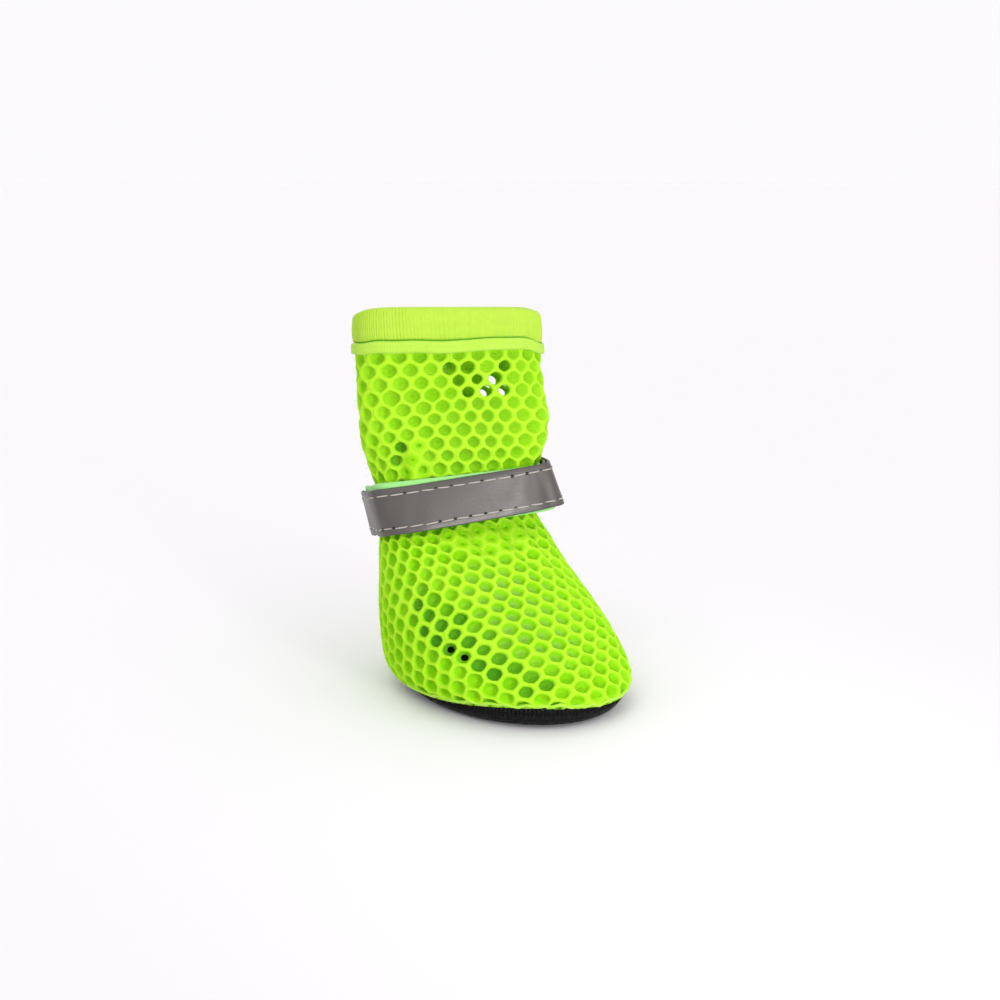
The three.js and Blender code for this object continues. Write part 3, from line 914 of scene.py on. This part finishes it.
def strapPoint(angle, share, grow, extraRoll=0.0):
    # share is 0 at the strap's lower edge and 1 at its upper edge; the strap leans and rolls about its middle
    point = sectionPoint(strapSections, angle, strap["level"] + (share - 0.5) * strap["width"], grow)
    middle = (strapSections[0, 1] + strapSections[0, 2]) / 2
    point[..., :2] -= np.asarray(share - 0.5)[..., None] * np.array(strap["tip"])
    point[..., 2] += tan(radians(strap["lean"])) * (point[..., 0] - middle)
    point[..., 2] += tan(radians(strap["roll"] + extraRoll)) * point[..., 1]
    point[..., 2] -= strapDroop["drop"] * bell(angle, strapDroop)
    return point


def strapGrow(run):
    # how far out the strap's inner face lies: the free end climbs over the strap's own start
    return strap["backing"] + gap + smoothstep(360 - strap["lapRamp"], 360, run) * (strap["thickness"] + gap)


def ribbonProfile(thickness, corner, steps=3, across=9):
    # a loop of (share, height): outer face upwards, then the inner face downwards, with rounded edges
    turn = np.linspace(0, pi / 2, steps)
    reach = corner / strap["width"]
    outerFace = [(share, thickness) for share in np.linspace(reach, 1 - reach, across)]
    outside = [(reach * (1 - sin(t)), thickness - corner + corner * cos(t)) for t in turn[::-1]][:-1]
    outside += outerFace
    outside += [(1 - reach * (1 - sin(t)), thickness - corner + corner * cos(t)) for t in turn[1:]]
    inside = [(1 - share, thickness - height) for share, height in outside]
    return np.array(outside + inside)


def buildRibbon(run, grow, thickness, skew, waver, extra=0.0):
    # a ribbon along the strap's path; extra is how much wider than the strap it is
    angle = np.radians(strap["lapStart"] + run)[:, None]
    share, height = ribbonProfile(thickness, min(0.3, thickness / 2.1)).T
    share = 0.5 + (share - 0.5) * (1 + extra / strap["width"])
    wave = waver * (np.sin(angle * 7 + share * 3) + 0.6 * np.sin(angle * 17 - share * 5))
    return strapPoint(angle, share[None], grow[:, None] + height[None] + wave, skew)


hookTape = clothMaterial("mint hook tape", {
    "light": (0.34, 0.74, 0.25), "deep": (0.22, 0.58, 0.15), "along": 1200.0, "across": 1200.0,
    "threadDepth": 0.0002, "roughness": 0.7, "sheen": 0.3,
})
run = np.arange(360.0)
points = buildRibbon(run, np.zeros(len(run)), strap["backing"], -strap["backingSkew"], 0.0,
                     strap["backingExtra"])
addLoop("hook_tape", points, hookTape, ["strap_backing"])


# grey tape of glass beads: a metal-like sheen broken by fine grain and faint scuffs
reflectiveTape = coatedMaterial("reflective tape", {
    "light": (0.092, 0.085, 0.080), "deep": (0.060, 0.055, 0.051), "patchScale": 70.0, "speckScale": 2200.0,
    "grainKind": "ShaderNodeTexNoise", "grainScale": 2600.0, "bump": {"Strength": 0.35, "Distance": 0.00006},
    "scuffs": {"Scale": 180.0, "Detail": 5.0, "Roughness": 0.65},
    "roughness": {"From_Min": 0.3, "From_Max": 0.7, "To_Min": 0.32, "To_Max": 0.46},
    "metallic": 0.35, "specular": 0.4,
})
run = np.linspace(0, 360 + strap["lapTurn"], 401)
points = buildRibbon(run, strapGrow(run), strap["thickness"], 0.0, strap["waver"])
addCapped("reflective_strap", points, reflectiveTape, ["strap"])


def strapTrack(share):
    # a line along the strap's outer face: its points, its outward directions and its running length
    run = np.linspace(0.5, 360 + strap["lapTurn"] - 2.5, 1200)
    angle = np.radians(strap["lapStart"] + run)
    line = strapPoint(angle, share, strapGrow(run) + strap["thickness"])
    length = runningLength(line)
    tangent = np.gradient(line, axis=0)
    outward = unit(np.cross(tangent, np.array([0, 0, 1.0])))
    return line, outward, length


def alongTrack(values, length, where):
    # values read off at other lengths, in proportion between neighbours
    return np.stack([np.interp(where, length, values[:, axis]) for axis in range(3)], -1)


paleThread = clothMaterial("pale thread", {
    "light": (0.44, 0.39, 0.34), "deep": (0.24, 0.21, 0.18), "along": 3000.0, "across": 3000.0,
    "roughness": 0.6,
})
# painted shade: the needle holes are low dark domes, coloured as the shade inside a hole
needleHoleShade = clothMaterial("painted needle hole shade", {
    "light": (0.025, 0.024, 0.022), "deep": (0.012, 0.011, 0.010), "along": 900.0, "across": 900.0,
})
threadParts, holeParts = [], []
inset = strap["stitchInset"] / strap["width"]
for side, share in enumerate((inset, 1 - inset)):
    line, outward, length = strapTrack(share)
    starts = np.arange(0.6 + side * 1.4, length[-1] - strap["stitchLength"], strap["stitchPitch"])
    t = np.linspace(0, 1, 9)
    where = starts[:, None] + t[None] * strap["stitchLength"]
    centre = alongTrack(line, length, where)
    out = unit(alongTrack(outward, length, where))
    up = np.array([0, 0, 1.0])
    slant = strap["threadSlant"] * rng.standard_normal(len(starts))[:, None]
    arch = 0.10 * np.sin(pi * t) ** 0.5 - 0.06
    centre = centre + out * arch[None, :, None] + up * (slant * (t - 0.5) * 2)[..., None]
    radius = strap["threadRadius"] * (0.35 + 0.65 * np.sin(pi * t) ** 0.4)
    threadParts.append(tubes(centre, out, np.broadcast_to(radius, where.shape), 6))
    holeAt = starts + strap["stitchLength"] + (strap["stitchPitch"] - strap["stitchLength"]) / 2
    holeAt = holeAt[rng.random(len(holeAt)) < strap["needleShare"]]
    holeParts.append(domes(alongTrack(line, length, holeAt), unit(alongTrack(outward, length, holeAt)),
                           strap["needleRadius"], strap["needleHeight"]))
addPiece("strap_stitches", threadParts, paleThread)
addPiece("needle_holes", holeParts, needleHoleShade)
print("strap done")


# Sole.
sole = {
    "underside": 0.4, "floor": 2.0, "floorInset": 6.0, "edge": 1.9,
    "ribPitch": 0.95, "ribHeight": 0.17, "ribPoints": 6, "dotPitch": 2.05, "dotRadius": 0.62, "dotInset": 4.4,
}
# the sole's edge from the underside to its inner floor: inset from the outline, height as a share of the
# edge's, and how strongly it is ribbed
soleProfile = [
    (3.4, 0.089, 0), (2.6, 0.11, 0), (1.85, 0.16, 0), (1.25, 0.24, 0), (0.8, 0.34, 0), (0.52, 0.43, 0),
    (0.42, 0.49, 0), (0.16, 0.52, 0), (0.08, 0.555, 0), (0.16, 0.59, 0), (0.42, 0.62, 0.5), (0.34, 0.67, 1),
    (0.26, 0.74, 1), (0.22, 0.81, 1), (0.26, 0.88, 1), (0.42, 0.94, 0.6), (0.75, 0.985, 0), (1.2, 1.0, 0),
    (1.65, 0.985, 0), (1.95, 0.94, 0), (2.1, 0.86, 0), (2.4, 0.76, 0), (3.5, 0.55, 0),
]


def evenAngles(count):
    # angles spaced evenly by length along the sole's outline
    fine = np.linspace(0, 2 * pi, 2001)
    line = sectionPoint(lastSections, fine, rim["level"])
    length = runningLength(line)
    return np.interp(np.linspace(0, length[-1], count + 1)[:-1], length, fine), length[-1]


def solePoint(angle, inset, height):
    # a point on the sole's outline, moved in by an inset and set at a height
    point = sectionPoint(lastSections, angle, rim["level"], -inset)
    point[..., 2] = height
    return point


def discRings(outline, height, shares):
    # rings that shrink towards the middle of an outline
    middle = outline.mean(0)
    rings = middle + (outline - middle)[:, None] * np.asarray(shares)[None, :, None]
    rings[..., 2] = height
    return rings


def buildSole():
    # rings across the underside, round the ribbed edge and over the inner floor
    _, girth = evenAngles(8)
    ribs = round(girth / sole["ribPitch"])
    angle, _ = evenAngles(ribs * sole["ribPoints"])
    inset, rise, ribbed = np.array(soleProfile).T
    height = (rim["level"] + edgeRaise(angle))[:, None] * rise[None]
    wave = np.cos(2 * pi * np.arange(len(angle)) / sole["ribPoints"])[:, None] * ribbed * sole["ribHeight"]
    edge = solePoint(angle[:, None], inset[None] - wave, height)
    shares = np.array([0.25, 0.5, 0.75, 0.9, 0.97])
    under = discRings(edge[:, 0], sole["underside"], shares)
    inner = solePoint(angle, sole["floorInset"], sole["floor"])
    over = discRings(inner, sole["floor"], shares[::-1])
    return np.concatenate([under, edge, inner[:, None], over], 1)


def closedRings(points):
    # faces of a ring surface, with a fan to a middle point at either end
    around, rings = points.shape[:2]
    flat = points.reshape(-1, 3)
    middles = np.stack([points[:, 0].mean(0), points[:, -1].mean(0)])
    first = np.arange(around) * rings
    after = np.roll(first, -1)
    low = np.stack([np.full(around, len(flat)), after, first], -1)
    high = np.stack([np.full(around, len(flat) + 1), first + rings - 1, after + rings - 1], -1)
    return np.concatenate([flat, middles]), [gridFaces(around, rings, wrapRows=True), low, high]


# black coated cloth: a close grain and a satin shine that varies
soleCloth = coatedMaterial("black sole cloth", {
    "light": (0.0045, 0.0042, 0.0045), "deep": (0.0010, 0.0010, 0.0011), "patchScale": 250.0,
    "speckScale": 1800.0,
    "grainKind": "ShaderNodeTexVoronoi", "grainScale": 1500.0, "bump": {"Strength": 0.9, "Distance": 0.00020},
    "scuffs": {"Scale": 900.0, "Detail": 4.0, "Roughness": 0.7},
    "roughness": {"From_Min": 0.35, "From_Max": 0.65, "To_Min": 0.28, "To_Max": 0.70},
    "specular": 0.11,
})


def soleDots():
    # raised dots over the flat of the underside, with their tips on the floor
    pitch, rowStep = sole["dotPitch"], sole["dotPitch"] * 0.866       # rows of equal triangles
    columns, rows = np.meshgrid(np.arange(-20, 21), np.arange(-20, 21), indexing="ij")
    spots = np.stack([(columns + 0.5 * (rows % 2)) * pitch, rows * rowStep], -1).reshape(-1, 2).astype(float)
    middle = (lastSections[0, 1] + lastSections[0, 2]) / 2
    length = (lastSections[0, 1] - lastSections[0, 2]) / 2 - sole["dotInset"]
    width = lastSections[0, 3] - sole["dotInset"]
    inside = np.hypot((spots[:, 0] - middle) / length, spots[:, 1] / width) < 1
    spots = spots[inside]
    height = sole["underside"] + 0.02       # from a little inside the sole down to the floor
    centres = np.concatenate([spots, np.full((len(spots), 1), height)], -1)
    down = np.broadcast_to(np.array([0, 0, -1.0]), centres.shape)
    return domes(centres, down, sole["dotRadius"], height, 10, (0.0, 0.5, 0.8, 1.0 - 1e-4))


addPiece("sole_shell", [closedRings(buildSole())], soleCloth, ["sole"])
addPiece("sole_dots", [soleDots()], soleCloth)

insoleCloth = clothMaterial("black insole cloth", {
    "light": (0.030, 0.030, 0.034), "deep": (0.010, 0.010, 0.012), "along": 500.0, "across": 500.0,
    "roughness": 0.95, "sheen": 0.2,
})
insole = {"low": 2.3, "thickness": 1.2, "insetLow": 6.2, "insetHigh": 4.6, "steps": 160}


def buildInsole():
    # rings across the underside, round the soft edge and over the top
    angle, _ = evenAngles(insole["steps"])
    low, high, inset = insole["low"], insole["low"] + insole["thickness"], insole["insetHigh"]
    edge = [(insole["insetLow"], low), (inset + 0.25, low + 0.4), (inset, low + 0.75),
            (inset + 0.15, high - 0.12), (inset + 0.6, high)]
    insets, heights = np.array(edge).T
    rings = solePoint(angle[:, None], insets[None], np.broadcast_to(heights, (len(angle), len(edge))))
    shares = np.array([0.3, 0.6, 0.85])
    under, over = discRings(rings[:, 0], low, shares), discRings(rings[:, -1], high, shares[::-1])
    return np.concatenate([under, rings, over], 1)


points, faces = closedRings(buildInsole())
addPiece("inner_sole", [(points, faces)], insoleCloth, ["insole"], points[:, :2] * millimetre)
print("sole done")


# Heel patch.
# a pad's half turn, in radians, has as its sine half the pad's width over the form's half width at the heel
patch = {"halfTurn": np.arcsin(8.0 / 25.9), "low": upperBottom + gap, "high": upperBottom + 12.0,
         "thickness": 0.8, "crease": 0.16}
tab = {"halfTurn": 0.062, "low": 5.4, "high": 8.4, "thickness": 0.45, "crease": 0.0}
# its glow is painted light, for the fluorescent dye
plainLime = clothMaterial("plain lime cloth", {
    "light": (0.37, 0.69, 0.035), "deep": (0.23, 0.57, 0.01), "patchScale": 80.0,
    "along": 1400.0, "across": 1400.0, "wander": 0.4, "threadDepth": 0.00008,
    "glow": (0.28, 0.80, 0.01), "glowStrength": 0.05,
})
tabCloth = clothMaterial("dark green tab", {
    "light": (0.025, 0.13, 0.02), "deep": (0.010, 0.06, 0.01), "along": 900.0, "across": 900.0,
})


def buildPad(pad, inner, across, up):
    # a cloth pad on the heel: outer face up, inner face down, edges rolled over
    turn = np.linspace(-1, 1, across)[:, None]
    rise = np.linspace(0, 1, up)[None, :]
    edge = np.clip(1 - np.abs(turn) ** 10, 0, 1) ** 0.5 * np.clip(1 - np.abs(2 * rise - 1) ** 12, 0, 1) ** 0.5
    angle = pi + pad["halfTurn"] * turn
    level = pad["low"] + (pad["high"] - pad["low"]) * rise
    ripple = np.sin(rise * 9 + turn * 2.2) * np.cos(turn * 3.1) + 0.6 * np.sin(turn * 8 - rise * 4)
    thin = 0.06     # at its very edge
    rise = (pad["thickness"] - thin) * edge + pad["crease"] * ripple * edge
    outer = formPoint(angle, level, inner + thin + rise)
    innerFace = formPoint(angle, level, inner)
    return np.concatenate([outer, innerFace[:, ::-1]], 1)


addCapped("heel_cloth", buildPad(patch, gap, 41, 25), plainLime, ["heel_patch"])
points = buildPad(tab, gap + patch["thickness"], 15, 13)
addCapped("heel_tab", points, tabCloth)
print("heel done")


# Stray fibres.
fibres = {
    "count": 3200, "radius": 0.020, "length": (0.5, 1.7),
    "nearHem": 0.2, "hemTop": 7.0, "hemShare": 0.45,      # this share grows below this level, and is shorter
}


def buildFibres():
    # short bent hairs that leave the mesh at odd angles
    count = fibres["count"]
    angle = rng.uniform(-pi, pi, count)
    level = rng.uniform(upperBottom + 0.4, upperTop - 2, count)
    hemLevel = (upperBottom - 0.2, fibres["hemTop"])
    level = np.where(rng.random(count) < fibres["nearHem"], rng.uniform(*hemLevel, count), level)
    root = formPoint(angle, level)
    normal = formNormal(angle, level)
    lean = unit(normal * rng.uniform(0.25, 1.0, (count, 1)) + rng.standard_normal((count, 3)) * 0.7)
    bend = rng.standard_normal((count, 3)) * 0.5
    length = rng.uniform(*fibres["length"], (count, 1, 1))
    length = length * np.where(level < fibres["hemTop"], fibres["hemShare"], 1.0)[:, None, None]
    t = np.linspace(0, 1, 5)[None, :, None]
    path = root[:, None] + normal[:, None] * 0.05 + length * (lean[:, None] * t + bend[:, None] * t**2 * 0.5)
    radius = np.broadcast_to(fibres["radius"] * (1 - 0.6 * t[..., 0]), path.shape[:2])
    across = unit(np.cross(lean, normal + 0.01))
    return tubes(path, np.broadcast_to(across[:, None], path.shape), radius, 4)


addPiece("stray_fibres", [buildFibres()], limeBinding)


# Floor.
half = studio["floorHalf"]
floorMesh = bpy.data.meshes.new("floor")
corners = [(-half, -half, 0), (half, -half, 0), (half, half, 0), (-half, half, 0)]
floorMesh.from_pydata(corners, [], [(0, 1, 2, 3)])
floorMaterial, _, floorShader = newMaterial("pale floor")
setValues(floorShader, Base_Color=(*studio["floorColour"], 1), Roughness=0.6, Specular_IOR_Level=0.1)
floorMesh.materials.append(floorMaterial)
floor = bpy.data.objects.new("floor", floorMesh)
scene.collection.objects.link(floor)
